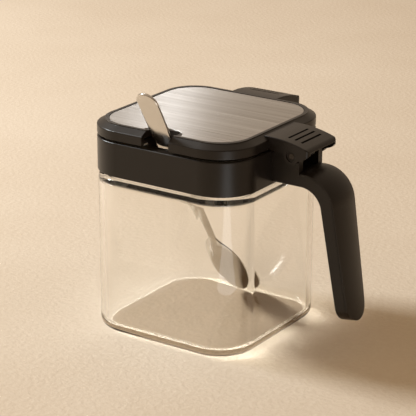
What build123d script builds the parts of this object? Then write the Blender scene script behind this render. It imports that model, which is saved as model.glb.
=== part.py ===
from build123d import *
import math
import os

# Square glass seasoning jar with a hinged lid, a thumb lever, a handle and a spoon.
# Millimetres. The origin is the middle of the glass foot, +Z is up, +X points to the handle,
# the spoon's notch is in the -Y side of the lid and the plain finger tab on its +Y side.

# Collar, which sets the width of the jar and the lid
collar_half_width = 40.0
collar_corner_radius = 18.3
collar_wall = 2.2
collar_fit_gap = 0.4
collar_overhang = 0.3
collar_gap_to_shoulder = 1.5
collar_flange = 1.5
collar_edge_round = 0.5
snap_rib_height = 1.5
snap_rib_length = 30.0
snap_clearance = 0.2
snap_reach = 0.3

# Glass jar
rim_height = 87.6
neck_height = 14.6
neck_wall = 2.8
bead_height = 2.8
bead_depth = 0.8
shoulder_round = 1.8
glass_wall = 2.4
base_thickness = 3.0
foot_round = 4.5
floor_round = 3.0

# Gasket between the glass rim and the collar's flange
gasket_thickness = 1.0
gasket_outer_inset = 0.3
gasket_inner_inset = 0.2

# Lid frame
lid_seam = 1.1
lid_side_height = 4.1
lid_bevel_width = 3.4
lid_bevel_height = 1.9
lid_ridge_height = 0.4
lid_web = 2.0
lid_skirt_wall = 2.0
lid_edge_round = 0.4
lid_shoulder_round = 0.5

# Steel top plate
plate_corner_radius = 14.6
plate_rim_width = 1.45
plate_thickness = 0.8
adhesive_thickness = 0.4
plate_edge_gap = 0.15
adhesive_inset = 2.0
plate_drop = 0.2

# Inner lid and its seal
liner_thickness = 1.6
liner_edge_gap = 0.3
plug_wall = 1.6
plug_gap = 0.6
plug_depth = 4.2
seal_width = 3.6
seal_gap = 0.3
liner_screw_inset = 10.8
liner_boss_radius = 3.0
liner_screw_radius = 0.9
liner_screw_head_radius = 2.0
liner_screw_head_height = 0.9
liner_screw_cover = 0.9
liner_pilot_spare = 0.3
screw_clearance = 0.15
thread_clearance = 0.05

# Spoon notch in the lid's front
notch_side_gap = 0.9
notch_end_gap = 2.37
notch_corner = 1.2
plate_notch_margin = 2.5
plate_notch_depth = 7.0
liner_notch_margin = 1.2
liner_notch_end_margin = 2.4
liner_notch_corner = 0.5

# Thumb lever, which is one piece with the lid frame, and the finger tab at the back
lever_half_width = 12.3
cheek_wall = 2.3
lever_reach = 19.4
lever_top_wall = 1.8
lever_root_drop = 0.3
lever_curve_drop = 3.5
lever_nose_length = 1.5
lever_corner_radius = 2.0
lever_edge_round = 0.4
cheek_height = 3.9
cheek_end_inset = 1.6
cheek_belly_drop = 1.3
cheek_belly_inset = 4.8
cheek_root_drop = 0.5
cheek_root_run = 5.6
boss_radius = 3.7
boss_recess_radius = 2.4
boss_recess_depth = 0.5
groove_count = 3
groove_first = 7.2
groove_pitch = 3.2
groove_width = 1.0
groove_depth = 0.8
groove_half_length = 8.0

# Hinge
pivot_reach = 11.0
pivot_below_collar_top = 0.4
pin_radius = 1.5
pin_running_clearance = 0.05
pin_press_clearance = 0.01
pin_chamfer = 0.2
lug_radius = 3.4
lug_wall = 3.2
post_reach = 13.6
bracket_block = 6.4
bracket_top_gap = 0.7

# Torsion spring round the hinge pin
spring_wire = 0.8
spring_coil_radius = 2.75
spring_quarter_turns = 17
spring_pitch = 1.7
spring_lever_leg = 3.3
spring_foot_gap = 0.3

# Handle: a flat-sided bar that narrows towards its tip, with a crowned cover on its outer face
handle_half_width = 9.6
handle_tip_half_width = 7.5
handle_taper_start = 3.0
handle_root_thickness = 5.3
handle_corner_thickness = 6.0
handle_tip_thickness = 5.3
handle_below_collar_top = 8.8
handle_corner_reach = 28.05
handle_corner_radius = 14.0
handle_inner_radius = 10.0
handle_flare = 8.6
handle_leg = 64.6
handle_edge_round = 0.6
cover_seam = 0.15
cover_edge_thickness = 0.4
cover_crown = 1.4
cover_start_gap = 0.4
leg_cut_spare = 0.05
handle_screw_spread = 5.5
handle_screw_radius = 1.1
handle_screw_head_radius = 2.2
handle_screw_length = 7.2
handle_screw_rise = 1.0
handle_screw_sink = 0.1
handle_screw_cover = 0.6
screw_slot_width = 0.5
screw_slot_depth = 0.4

# Spoon, loose in the jar
spoon_side_shift = 1.2
spoon_blade_lean_degrees = 30.3
spoon_bowl_lean_degrees = 43.0
spoon_bend_below_lid_top = 1.6
spoon_rest_gap = 0.65
spoon_tip_to_wall = 3.65
spoon_tip_to_floor = 1.3
spoon_thickness = 1.6
spoon_neck_half_width = 1.9
spoon_middle_half_width = 2.7
spoon_bend_half_width = 5.0
spoon_blade_half_width = 5.3
spoon_blade_length = 25.6
spoon_bowl_length = 46.0
spoon_bowl_half_width = 11.0
spoon_bowl_depth = 6.0
spoon_bowl_wall = 0.9
spoon_bowl_overlap = 1.5
spoon_bend_overlap = 0.6

# Sizes and places worked out from those above
jar_half_width = collar_half_width - collar_overhang
jar_corner_radius = collar_corner_radius - collar_overhang
neck_half_width = collar_half_width - collar_wall - collar_fit_gap - bead_depth
mouth_half_width = neck_half_width - neck_wall
shoulder_height = rim_height - neck_height
collar_bottom = shoulder_height + collar_gap_to_shoulder
collar_top = rim_height + gasket_thickness + collar_flange
lid_bottom = collar_top + lid_seam
lid_shoulder = lid_bottom + lid_side_height
lid_bevel_top = lid_shoulder + lid_bevel_height
lid_top = lid_bevel_top + lid_ridge_height
plate_top = lid_top - plate_drop
plate_bottom = plate_top - plate_thickness
recess_floor = plate_bottom - adhesive_thickness
web_bottom = recess_floor - lid_web
plate_half_width = collar_half_width - lid_bevel_width - plate_rim_width - plate_edge_gap
liner_screw_place = mouth_half_width - liner_screw_inset
lever_root = collar_half_width
pivot_x = lever_root + pivot_reach
pivot_z = collar_top - pivot_below_collar_top
handle_top = collar_top - handle_below_collar_top
handle_screw_height = handle_top + handle_screw_rise
handle_line_end = lever_root + post_reach + cover_start_gap
tool_length = 4 * collar_half_width

# The spoon rests with its tip in the far lower corner and its stem near the rim at the front.
spoon_tip_y = jar_half_width - glass_wall - spoon_tip_to_wall
spoon_tip_z = base_thickness + spoon_tip_to_floor
bowl_reach = spoon_bowl_length - spoon_bowl_overlap
spoon_neck_y = spoon_tip_y - bowl_reach * math.sin(math.radians(spoon_bowl_lean_degrees))
spoon_neck_z = spoon_tip_z + bowl_reach * math.cos(math.radians(spoon_bowl_lean_degrees))
spoon_rest_y = 0.6 * spoon_thickness + spoon_rest_gap - mouth_half_width
stem_slope = (spoon_neck_y - spoon_rest_y) / (collar_top - spoon_neck_z)
spoon_lean_degrees = math.degrees(math.atan(stem_slope))
spoon_bend_z = lid_top - spoon_bend_below_lid_top
spoon_bend_y = spoon_rest_y - stem_slope * (spoon_bend_z - collar_top)
spoon_stem_length = math.hypot(spoon_neck_y - spoon_bend_y, spoon_bend_z - spoon_neck_z)
stem_at_liner_y = spoon_rest_y - stem_slope * (lid_bottom - collar_top) + 0.6 * spoon_thickness

# The notch clears the spoon on both sides and behind it.
notch_half_width = spoon_bend_half_width + spoon_side_shift + notch_side_gap
notch_depth = collar_half_width + stem_at_liner_y + notch_end_gap
plate_notch_half_width = notch_half_width + plate_notch_margin


def square_block(half, radius, bottom, top):
    """A block with a rounded square plan, between two heights."""
    return extrude(Pos(0, 0, bottom) * RectangleRounded(2 * half, 2 * half, radius), top - bottom)


def side_slab(outline, near, far):
    """An outline drawn in X and Z, made solid from Y = near to Y = far."""
    return extrude(Pos(0, far, 0) * (Plane.XZ * outline), far - near)


def inner_radius(outer_radius, outer_half, inner_half):
    """The corner radius of a rounded square set inside another one, with an even wall."""
    return outer_radius - (outer_half - inner_half)


def jar_radius(half):
    """The corner radius, at this half width, of the family of shapes about the glass."""
    return inner_radius(jar_corner_radius, jar_half_width, half)


def lid_radius(half):
    """The corner radius, at this half width, of the family of shapes about the lid."""
    return inner_radius(collar_corner_radius, collar_half_width, half)


def level_edges(solid, height):
    """The edges of a solid that lie level at one height."""
    return solid.edges().filter_by_position(Axis.Z, height - 0.001, height + 0.001)


def make_glass():
    body = square_block(jar_half_width, jar_corner_radius, 0, shoulder_height)
    body = fillet(level_edges(body, 0), foot_round)
    body = fillet(level_edges(body, shoulder_height), shoulder_round)
    neck_radius = jar_radius(neck_half_width)
    body += square_block(neck_half_width, neck_radius, shoulder_height - 1, rim_height)
    bead_half = neck_half_width + bead_depth
    bead_top = rim_height - bead_height
    body += square_block(bead_half, jar_radius(bead_half), bead_top - bead_height, bead_top)
    inner_half = jar_half_width - glass_wall
    cavity_top = shoulder_height - glass_wall
    cavity = square_block(inner_half, jar_radius(inner_half), base_thickness, cavity_top)
    cavity = fillet(level_edges(cavity, base_thickness), floor_round)
    cavity = fillet(level_edges(cavity, cavity_top), shoulder_round)
    throat_radius = jar_radius(mouth_half_width)
    cavity += square_block(mouth_half_width, throat_radius, cavity_top - 1, rim_height + 1)
    return body - cavity


def make_gasket():
    gasket_top = rim_height + gasket_thickness
    outer = neck_half_width - gasket_outer_inset
    ring = square_block(outer, jar_radius(outer), rim_height, gasket_top)
    inner = mouth_half_width + gasket_inner_inset
    return ring - square_block(inner, jar_radius(inner), rim_height - 1, gasket_top + 1)


def screw_holes_in_collar():
    """Countersunk holes through the collar's wall for the two handle screws."""
    inner_face = collar_half_width - collar_wall
    tool = None
    for side in (-1, 1):
        place = Pos(inner_face, side * handle_screw_spread, handle_screw_height) * Rot(0, 90, 0)
        shank = Cylinder(handle_screw_radius + screw_clearance, 3 * collar_wall)
        sink = Cone(handle_screw_head_radius + screw_clearance, handle_screw_radius + screw_clearance,
                    collar_wall / 2, align=(Align.CENTER, Align.CENTER, Align.MIN))
        part = place * (shank + sink)
        tool = part if tool is None else tool + part
    return tool


def make_collar():
    ring = square_block(collar_half_width, collar_corner_radius, collar_bottom, collar_top)
    ring = fillet(level_edges(ring, collar_top), collar_edge_round)
    ring = fillet(level_edges(ring, collar_bottom), collar_edge_round)
    inner_half = collar_half_width - collar_wall
    flange_bottom = collar_top - collar_flange
    ring -= square_block(inner_half, lid_radius(inner_half), collar_bottom - 1, flange_bottom)
    mouth_radius = jar_radius(mouth_half_width)
    ring -= square_block(mouth_half_width, mouth_radius, flange_bottom - 1, collar_top + 1)
    rib_top = rim_height - 2 * bead_height - snap_clearance
    rib_inner = neck_half_width + snap_reach
    rib_outer = collar_half_width - collar_wall / 2
    # Three walls carry a snap rib; the wall on the handle's side has the screws instead.
    for turn in (90, 180, 270):
        rib = Pos((rib_inner + rib_outer) / 2, 0, rib_top - snap_rib_height / 2)
        rib = rib * Box(rib_outer - rib_inner, snap_rib_length, snap_rib_height)
        ring += Rot(0, 0, turn) * rib
    ring -= screw_holes_in_collar()
    return ring


def leg_plane():
    """A plane on the leg's outer face: x down the leg, y along +Y, z out of the face."""
    flare = math.radians(handle_flare)
    down = (math.sin(flare), 0, -math.cos(flare))
    out = (math.cos(flare), 0, math.sin(flare))
    return Plane(origin=(lever_root + handle_corner_reach, 0, handle_top), x_dir=down, z_dir=out)


def on_leg(distance, depth):
    """A point of the handle's side view, down the leg and in from its outer face."""
    flare = math.radians(handle_flare)
    return (lever_root + handle_corner_reach + distance * math.sin(flare) - depth * math.cos(flare),
            handle_top - distance * math.cos(flare) - depth * math.sin(flare))


def outer_line(rise, start_x):
    """The handle's side line at a height over the bar's outer face, from start_x to the tip."""
    half_turn = math.radians(90 - handle_flare) / 2
    corner = (on_leg(0, 0)[0] + rise * math.tan(half_turn), handle_top + rise)
    start = (start_x, handle_top + rise)
    return FilletPolyline(start, corner, on_leg(handle_leg, -rise), radius=handle_corner_radius + rise)


def inner_line(start_x):
    """The side line of the bar's inner side, where the leg is deepest below the corner."""
    level = handle_top - handle_root_thickness
    high = on_leg(0, handle_corner_thickness)
    low = on_leg(handle_leg, handle_tip_thickness)
    share = (level - high[1]) / (low[1] - high[1])
    corner = (high[0] + share * (low[0] - high[0]), level)
    return FilletPolyline((start_x, level), corner, low, radius=handle_inner_radius)


def shape_leg(solid):
    """Cut the leg's sides to their taper and its free end to a half round, seen from outside."""
    tip = handle_tip_half_width
    half = handle_half_width + leg_cut_spare
    shoulder = handle_leg - tip
    start = handle_taper_start
    left = Line((start, half), (shoulder, tip))
    end = ThreePointArc((shoulder, tip), (handle_leg, 0), (shoulder, -tip))
    right = Line((shoulder, -tip), (start, -half))
    keep = make_face([left, end, right, Line((start, -half), (start, half))])
    around = Pos(start + handle_leg / 2, 0, 0) * Rectangle(handle_leg, 3 * handle_half_width)
    return solid - extrude(leg_plane() * (around - keep), tool_length, both=True)


def make_bar():
    """The handle's bar in side view, cut to its taper, with its inner long edges rounded."""
    outer = outer_line(0, lever_root)
    inner = inner_line(lever_root)
    outline = make_face([outer, inner, Line(outer @ 0, inner @ 0), Line(outer @ 1, inner @ 1)])
    bar = shape_leg(side_slab(outline, -handle_half_width, handle_half_width))
    long_edges = []
    for edge in bar.edges().filter_by(GeomType.LINE):
        if edge.length > handle_leg / 2:
            long_edges.append(edge)
    long_edges.sort(key=lambda edge: edge.center().X)
    return fillet(long_edges[:2], handle_edge_round)


def make_bracket():
    """The block on the collar's side, with the two lugs that carry the hinge pin."""
    post_outer = lever_root + post_reach
    low = handle_top - handle_root_thickness / 2
    outline = Polyline((lever_root, low), (handle_line_end, low), (handle_line_end, handle_top),
                       (post_outer, handle_top), (post_outer, pivot_z), (pivot_x, pivot_z + lug_radius),
                       (lever_root, pivot_z - bracket_top_gap), close=True)
    bracket = side_slab(make_face(outline), -handle_half_width, handle_half_width)
    keep = Pos(pivot_x, 0, pivot_z) * Rot(90, 0, 0) * Cylinder(lug_radius, tool_length)
    half_tool = tool_length / 2
    over = Pos(pivot_x - lug_radius + half_tool, 0, pivot_z + half_tool)
    bracket -= over * Box(tool_length, tool_length, tool_length) - keep
    slot_half = handle_half_width - lug_wall
    slot = Pos(lever_root + bracket_block + half_tool, 0, handle_top + half_tool)
    return bracket - slot * Box(tool_length, 2 * slot_half, tool_length)


def make_handle():
    bar = make_bar() + make_bracket()
    bore = Pos(pivot_x, 0, pivot_z) * Rot(90, 0, 0)
    bar -= bore * Cylinder(pin_radius + pin_running_clearance, tool_length)
    for side in (-1, 1):
        pilot = Pos(lever_root, side * handle_screw_spread, handle_screw_height) * Rot(0, 90, 0)
        pilot_depth = bracket_block - handle_screw_cover
        bar -= pilot * Cylinder(handle_screw_radius + thread_clearance, 2 * pilot_depth)
    return bar


def make_handle_cover():
    half = handle_half_width
    low = handle_top + cover_seam
    edge = low + cover_edge_thickness
    start_plane = Plane(origin=(handle_line_end, 0, 0), x_dir=(0, 1, 0), z_dir=(1, 0, 0))
    top = ThreePointArc((-half, edge), (0, edge + cover_crown), (half, edge))
    bottom = Polyline((half, edge), (half, low), (-half, low), (-half, edge))
    section = start_plane * make_face([top, bottom])
    cover = sweep(section, path=Plane.XZ * outer_line(cover_seam, handle_line_end))
    return shape_leg(cover)


def make_handle_screws():
    head_face = collar_half_width - collar_wall + handle_screw_sink
    on_face = (Align.CENTER, Align.CENTER, Align.MIN)
    screws = []
    for side in (-1, 1):
        place = Pos(head_face, side * handle_screw_spread, handle_screw_height) * Rot(0, 90, 0)
        head = Cone(handle_screw_head_radius, handle_screw_radius, collar_wall / 2 - handle_screw_sink,
                    align=on_face)
        shank = Cylinder(handle_screw_radius, handle_screw_length, align=on_face)
        slot = Box(1.4 * handle_screw_head_radius, screw_slot_width, 2 * screw_slot_depth)
        screws.append(place * (head + shank - slot))
    return Compound(children=screws)


def lever_top(distance):
    """Height of the lever's top at a distance from the lid's side."""
    drop = lever_curve_drop * (distance / lever_reach) ** 2
    return lid_bevel_top - lever_root_drop - drop


def lever_crest():
    """The lever's top line in side view, with its rounded nose."""
    crest_length = lever_reach - lever_nose_length
    start = (lever_root, lever_top(0))
    middle = (lever_root + crest_length / 2, lever_top(crest_length / 2))
    end = (lever_root + crest_length, lever_top(crest_length))
    nose_foot = (lever_root + lever_reach, end[1] - lever_nose_length)
    nose_middle = (nose_foot[0] - 0.35 * lever_nose_length, end[1] - 0.45 * lever_nose_length)
    return ThreePointArc(start, middle, end), ThreePointArc(end, nose_middle, nose_foot)


def plan_corners(solid):
    """The upright edges at the two outer corners of a lever on the +X side."""
    found = []
    for edge in solid.edges().filter_by(GeomType.LINE):
        middle = edge.center()
        upright = abs((edge % 0.5).Z) > 0.9
        at_nose = middle.X > lever_root + lever_reach - 0.1
        if upright and at_nose and abs(middle.Y) > lever_half_width - 0.1:
            found.append(edge)
    return found


def crest_edges(solid):
    """The two long upper edges of a lever on the +X side."""
    found = []
    for edge in solid.edges().filter_by(GeomType.CIRCLE):
        middle = edge.center()
        if edge.length > lever_reach / 2 and middle.Z > lid_shoulder:
            found.append(edge)
    return found


def lever_body(with_boss):
    """A grooved top between two cheeks, on the +X side; the lever also has pivot bosses."""
    crest, nose = lever_crest()
    reach = lever_root + lever_reach
    root_in = lever_root - lid_bevel_width
    root_line = [(root_in, lever_top(0)), (lever_root, lever_top(0))]
    under_middle = (lever_root + lever_reach / 2, lever_top(lever_reach / 2) - lever_top_wall)
    nose_foot = nose @ 1
    nose_under = (reach, nose_foot.Y - lever_top_wall + lever_nose_length)
    shell_line = Polyline(nose_foot, nose_under, under_middle,
                          (root_in, lever_top(0) - lever_top_wall), *root_line)
    cheek_low = lever_top(lever_reach) - cheek_height
    belly = (reach - cheek_belly_inset, cheek_low - cheek_belly_drop)
    root_run = (lever_root + cheek_root_run, lid_bottom - cheek_root_drop)
    low_end = (lever_root + cheek_wall, lid_bottom - cheek_root_drop)
    skirt_middle = lever_root - lid_skirt_wall / 2
    if with_boss:
        middle = [belly, (pivot_x, pivot_z), root_run]
    else:
        middle = [belly]
    cheek_end = [(reach, cheek_low + cheek_end_inset), (reach - cheek_end_inset, cheek_low)]
    skirt_line = [(skirt_middle, lid_bottom), (skirt_middle, lid_shoulder), (root_in, lid_shoulder)]
    cheek_line = Polyline(nose_foot, *cheek_end, *middle, low_end, *skirt_line, *root_line)
    body = side_slab(make_face([crest, nose, cheek_line]), -lever_half_width, lever_half_width)
    pivot = Pos(pivot_x, 0, pivot_z) * Rot(90, 0, 0)
    if with_boss:
        body += pivot * Cylinder(boss_radius, 2 * lever_half_width)
    between = Box(tool_length, 2 * (lever_half_width - cheek_wall), tool_length)
    body -= Pos(lever_root, 0, lid_bottom) * between
    body += side_slab(make_face([crest, nose, shell_line]), -lever_half_width, lever_half_width)
    body = fillet(plan_corners(body), lever_corner_radius)
    body = fillet(crest_edges(body), lever_edge_round)
    if with_boss:
        for side in (-1, 1):
            recess = Pos(0, side * lever_half_width, 0) * pivot
            body -= recess * Cylinder(boss_recess_radius, 2 * boss_recess_depth)
        body -= pivot * Cylinder(pin_radius + pin_press_clearance, tool_length)
    for number in range(groove_count):
        distance = groove_first + number * groove_pitch
        groove = Pos(lever_root + distance, 0, lever_top(distance))
        body -= groove * Box(groove_width, 2 * groove_half_length, 2 * groove_depth)
    return body


def notch_block(half_width, depth, corner, bottom, top):
    """The spoon's notch: open to the front, with rounded inner corners."""
    length = 2 * depth
    middle = -collar_half_width + depth - length / 2
    plan = Pos(0, middle, bottom) * RectangleRounded(2 * half_width, length, corner)
    return extrude(plan, top - bottom)


def plate_notch(margin, bottom, top):
    """The oval cut in the steel plate about the spoon's notch, less a margin all round."""
    plan = Pos(0, -plate_half_width, bottom)
    plan = plan * Ellipse(plate_notch_half_width - margin, plate_notch_depth - margin)
    return extrude(plan, top - bottom)


def screw_places():
    """The four places of the inner lid's screws."""
    return [(x, y) for x in (-liner_screw_place, liner_screw_place)
            for y in (-liner_screw_place, liner_screw_place)]


def make_lid_frame():
    frame = square_block(collar_half_width, collar_corner_radius, lid_bottom, lid_shoulder)
    frame = fillet(level_edges(frame, lid_bottom), lid_edge_round)
    ridge_half = collar_half_width - lid_bevel_width
    wide = RectangleRounded(2 * collar_half_width, 2 * collar_half_width, collar_corner_radius)
    narrow = RectangleRounded(2 * ridge_half, 2 * ridge_half, lid_radius(ridge_half))
    frame += loft([Pos(0, 0, lid_shoulder) * wide, Pos(0, 0, lid_bevel_top) * narrow], ruled=True)
    frame = fillet(level_edges(frame, lid_shoulder), lid_shoulder_round)
    frame += square_block(ridge_half, lid_radius(ridge_half), lid_bevel_top, lid_top)
    hollow_half = collar_half_width - lid_skirt_wall
    frame -= square_block(hollow_half, lid_radius(hollow_half), lid_bottom - 1, web_bottom)
    frame += lever_body(True)
    frame += Rot(0, 0, 90) * lever_body(False)
    recess_half = plate_half_width + plate_edge_gap
    recess_radius = plate_corner_radius + plate_edge_gap
    recess = square_block(recess_half, recess_radius, recess_floor, lid_top + 1)
    recess -= plate_notch(plate_edge_gap, recess_floor - 1, lid_bevel_top)
    frame -= recess
    liner_top = lid_bottom + liner_thickness
    for x, y in screw_places():
        boss_middle = (liner_top + web_bottom) / 2
        frame += Pos(x, y, boss_middle) * Cylinder(liner_boss_radius, web_bottom - liner_top)
        pilot_depth = recess_floor - liner_screw_cover + liner_pilot_spare - liner_top
        pilot = Pos(x, y, liner_top + pilot_depth / 2)
        frame -= pilot * Cylinder(liner_screw_radius + thread_clearance, pilot_depth)
    frame -= notch_block(notch_half_width, notch_depth, notch_corner, lid_bottom - 1, lid_top + 1)
    return frame


def make_top_plate():
    plate = square_block(plate_half_width, plate_corner_radius, plate_bottom, plate_top)
    return plate - plate_notch(0, plate_bottom - 1, plate_top + 1)


def make_adhesive():
    half = plate_half_width - adhesive_inset
    pad = square_block(half, plate_corner_radius - adhesive_inset, recess_floor, plate_bottom)
    return pad - plate_notch(-adhesive_inset, recess_floor - 1, plate_bottom + 1)


def make_liner():
    half = collar_half_width - lid_skirt_wall - liner_edge_gap
    liner_top = lid_bottom + liner_thickness
    liner = square_block(half, lid_radius(half), lid_bottom, liner_top)
    plug_half = mouth_half_width - plug_gap
    plug_bottom = lid_bottom - plug_depth
    liner += square_block(plug_half, jar_radius(plug_half), plug_bottom, lid_bottom)
    hollow_half = plug_half - plug_wall
    hollow = square_block(hollow_half, jar_radius(hollow_half), plug_bottom - 1, lid_bottom)
    width = notch_half_width + liner_notch_margin
    depth = notch_depth + liner_notch_end_margin
    walled = (width + plug_wall, depth + plug_wall, liner_notch_corner)
    liner -= hollow - notch_block(*walled, plug_bottom - 1, lid_bottom)
    for x, y in screw_places():
        place = Pos(x, y, lid_bottom)
        liner -= place * Cylinder(liner_screw_radius + screw_clearance, 4 * liner_thickness)
        liner -= place * Cylinder(liner_screw_head_radius + screw_clearance, 2 * liner_screw_head_height)
    return liner - notch_block(width, depth, liner_notch_corner, plug_bottom - 1, liner_top + 1)


def make_liner_screws():
    screws = []
    for x, y in screw_places():
        head_top = lid_bottom + liner_screw_head_height
        head = Pos(x, y, head_top - liner_screw_head_height / 2)
        head = head * Cylinder(liner_screw_head_radius, liner_screw_head_height)
        shank_length = recess_floor - liner_screw_cover - head_top
        shank = Pos(x, y, head_top + shank_length / 2) * Cylinder(liner_screw_radius, shank_length)
        arm = Box(1.1 * liner_screw_head_radius, screw_slot_width, 2 * screw_slot_depth)
        cross = Pos(x, y, lid_bottom) * (arm + Rot(0, 0, 90) * arm)
        screws.append(head + shank - cross)
    return Compound(children=screws)


def make_seal():
    outer = mouth_half_width + seal_width - plug_gap
    inner = mouth_half_width - plug_gap / 2
    bottom = collar_top + seal_gap
    ring = square_block(outer, lid_radius(outer), bottom, lid_bottom)
    ring -= square_block(inner, jar_radius(inner), bottom - 1, lid_bottom + 1)
    width = notch_half_width + liner_notch_margin
    return ring - notch_block(width, notch_depth, notch_corner, bottom - 1, lid_bottom + 1)


def make_pin():
    length = 2 * (lever_half_width - boss_recess_depth)
    pin = Pos(pivot_x, 0, pivot_z) * Rot(90, 0, 0) * Cylinder(pin_radius, length)
    return chamfer(pin.edges().filter_by(GeomType.CIRCLE), pin_chamfer)


def biarc(start, start_way, end, end_way):
    """Two arcs that leave start along start_way and reach end along end_way."""
    span = end - start
    ways = start_way + end_way
    both = 2 * (1 - start_way.dot(end_way))
    root = math.sqrt(span.dot(ways) ** 2 + both * span.dot(span))
    reach = (root - span.dot(ways)) / both
    middle = (start + end + (start_way - end_way) * reach) * 0.5
    middle_way = (end - end_way * reach) - (start + start_way * reach)
    first = TangentArc(start, middle, tangent=start_way)
    second = TangentArc(middle, end, tangent=middle_way)
    return [first, second]


def coil_point(quarter):
    """A point on the coil's centre line and the way the wire runs there."""
    angle = math.pi - quarter * math.pi / 2
    first_y = -spring_pitch * spring_quarter_turns / 8
    place = Vector(pivot_x + spring_coil_radius * math.cos(angle),
                   first_y + spring_pitch * quarter / 4,
                   pivot_z + spring_coil_radius * math.sin(angle))
    climb = spring_pitch / (2 * math.pi * spring_coil_radius)
    way = Vector(math.sin(angle), climb, -math.cos(angle)).normalized()
    return place, way


def make_spring():
    """One unbroken wire: a foot in the handle's slot, the coil, and a leg under the lever."""
    start, start_way = coil_point(0)
    foot_length = (start.Z - handle_top - spring_foot_gap) / start_way.Z
    line = [Line(start - start_way * foot_length, start)]
    for quarter in range(spring_quarter_turns):
        here, way = coil_point(quarter)
        there, next_way = coil_point(quarter + 1)
        line += biarc(here, way, there, next_way)
    end, end_way = coil_point(spring_quarter_turns)
    line.append(Line(end, end + end_way * spring_lever_leg))
    path = Wire(line)
    foot = path @ 0
    section = Plane(origin=foot, z_dir=path % 0) * Circle(spring_wire / 2)
    report_coil_gap(path)
    return sweep(section, path=path)


def report_coil_gap(path):
    """Print the least gap between turns, measured on points more than half a turn apart."""
    count = 600
    half_turn = math.pi * spring_coil_radius
    points = [path @ (number / count) for number in range(count + 1)]
    step = path.length / count
    apart = int(half_turn / step)
    least = path.length
    for first in range(count + 1 - apart):
        for second in range(first + apart, count + 1):
            least = min(least, (points[first] - points[second]).length)
    print("hinge spring: length", round(path.length, 1), "least gap", round(least - spring_wire, 2))


def spoon_plane(origin, lean, down):
    """A plane along the spoon: x runs along it, z out of its front and under side."""
    angle = math.radians(lean)
    way = 1 if down else -1
    along = (0, way * math.sin(angle), -way * math.cos(angle))
    return Plane(origin=origin, x_dir=along, z_dir=(0, -math.cos(angle), -math.sin(angle)))


def strip(plane, stations):
    """A flat strip of the spoon's metal from (distance, half width) stations."""
    near = [(distance, half) for distance, half in stations]
    far = [(distance, -half) for distance, half in reversed(stations)]
    outline = make_face(Polyline(*near, *far, close=True))
    return extrude(plane * outline, spoon_thickness / 2, both=True)


def make_spoon():
    bend = Vector(spoon_side_shift, spoon_bend_y, spoon_bend_z)
    stem_plane = spoon_plane(bend, spoon_lean_degrees, True)
    stem = strip(stem_plane, [(-spoon_bend_overlap, spoon_bend_half_width),
                              (0.6 * spoon_stem_length, spoon_middle_half_width),
                              (spoon_stem_length + spoon_bowl_overlap / 2, spoon_neck_half_width)])
    blade_plane = spoon_plane(bend, spoon_blade_lean_degrees, False)
    straight = spoon_blade_length - spoon_blade_half_width
    blade = strip(blade_plane, [(0, spoon_bend_half_width), (0.4 * straight, spoon_blade_half_width),
                                (straight, spoon_blade_half_width)])
    blade += blade_plane * (Pos(straight, 0, 0) * Cylinder(spoon_blade_half_width, spoon_thickness))
    bowl_plane = spoon_plane((spoon_side_shift, spoon_neck_y, spoon_neck_z), spoon_bowl_lean_degrees, True)
    outer_half = (spoon_bowl_length / 2, spoon_bowl_half_width, spoon_bowl_depth)
    inner_half = tuple(half - spoon_bowl_wall for half in outer_half)
    bowl = scale(Sphere(1), by=outer_half) - scale(Sphere(1), by=inner_half)
    bowl -= Pos(0, 0, -tool_length / 2) * Box(tool_length, tool_length, tool_length)
    bowl = bowl_plane * (Pos(outer_half[0] - spoon_bowl_overlap, 0, 0) * bowl)
    return stem + blade + bowl


nodes = {
    "glass_jar": make_glass,
    "neck_gasket": make_gasket,
    "collar": make_collar,
    "handle": make_handle,
    "handle_cover": make_handle_cover,
    "handle_screws": make_handle_screws,
    "lid_frame": make_lid_frame,
    "top_plate": make_top_plate,
    "plate_adhesive": make_adhesive,
    "inner_lid": make_liner,
    "inner_lid_screws": make_liner_screws,
    "lid_seal": make_seal,
    "hinge_pin": make_pin,
    "hinge_spring": make_spring,
    "spoon": make_spoon,
}

os.makedirs("parts", exist_ok=True)
for name, maker in nodes.items():
    export_step(maker(), "parts/" + name + ".step")
print("pivot at", round(pivot_x, 3), round(pivot_z, 3), "plate top", round(plate_top, 3))
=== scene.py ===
import math

import bmesh
import bpy
from mathutils import Matrix, Vector


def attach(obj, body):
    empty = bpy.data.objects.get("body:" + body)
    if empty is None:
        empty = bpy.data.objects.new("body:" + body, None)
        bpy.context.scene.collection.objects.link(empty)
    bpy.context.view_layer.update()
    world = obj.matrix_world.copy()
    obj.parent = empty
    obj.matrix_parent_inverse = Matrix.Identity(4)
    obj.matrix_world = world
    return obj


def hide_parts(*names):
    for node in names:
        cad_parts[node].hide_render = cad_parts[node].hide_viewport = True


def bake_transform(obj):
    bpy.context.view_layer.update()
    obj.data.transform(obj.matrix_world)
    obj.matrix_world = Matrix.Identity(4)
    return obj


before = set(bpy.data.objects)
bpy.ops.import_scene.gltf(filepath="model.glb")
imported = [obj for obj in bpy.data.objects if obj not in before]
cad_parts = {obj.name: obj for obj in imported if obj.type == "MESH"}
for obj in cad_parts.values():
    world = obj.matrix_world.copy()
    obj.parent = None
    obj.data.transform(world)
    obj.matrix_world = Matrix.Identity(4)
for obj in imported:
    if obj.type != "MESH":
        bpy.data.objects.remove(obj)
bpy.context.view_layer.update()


# Camera. The jar is seen from the front right corner and a little above, through a long lens,
# so that its sides stay nearly parallel.
camera_azimuth = 34.01
camera_elevation = 19.45
camera_distance = 0.8268
camera_target = Vector((0.00035, 0.00023, 0.0531))
camera_roll = 0.11
sensor_width_mm = 36.0
lens_mm = 159.15

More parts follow.
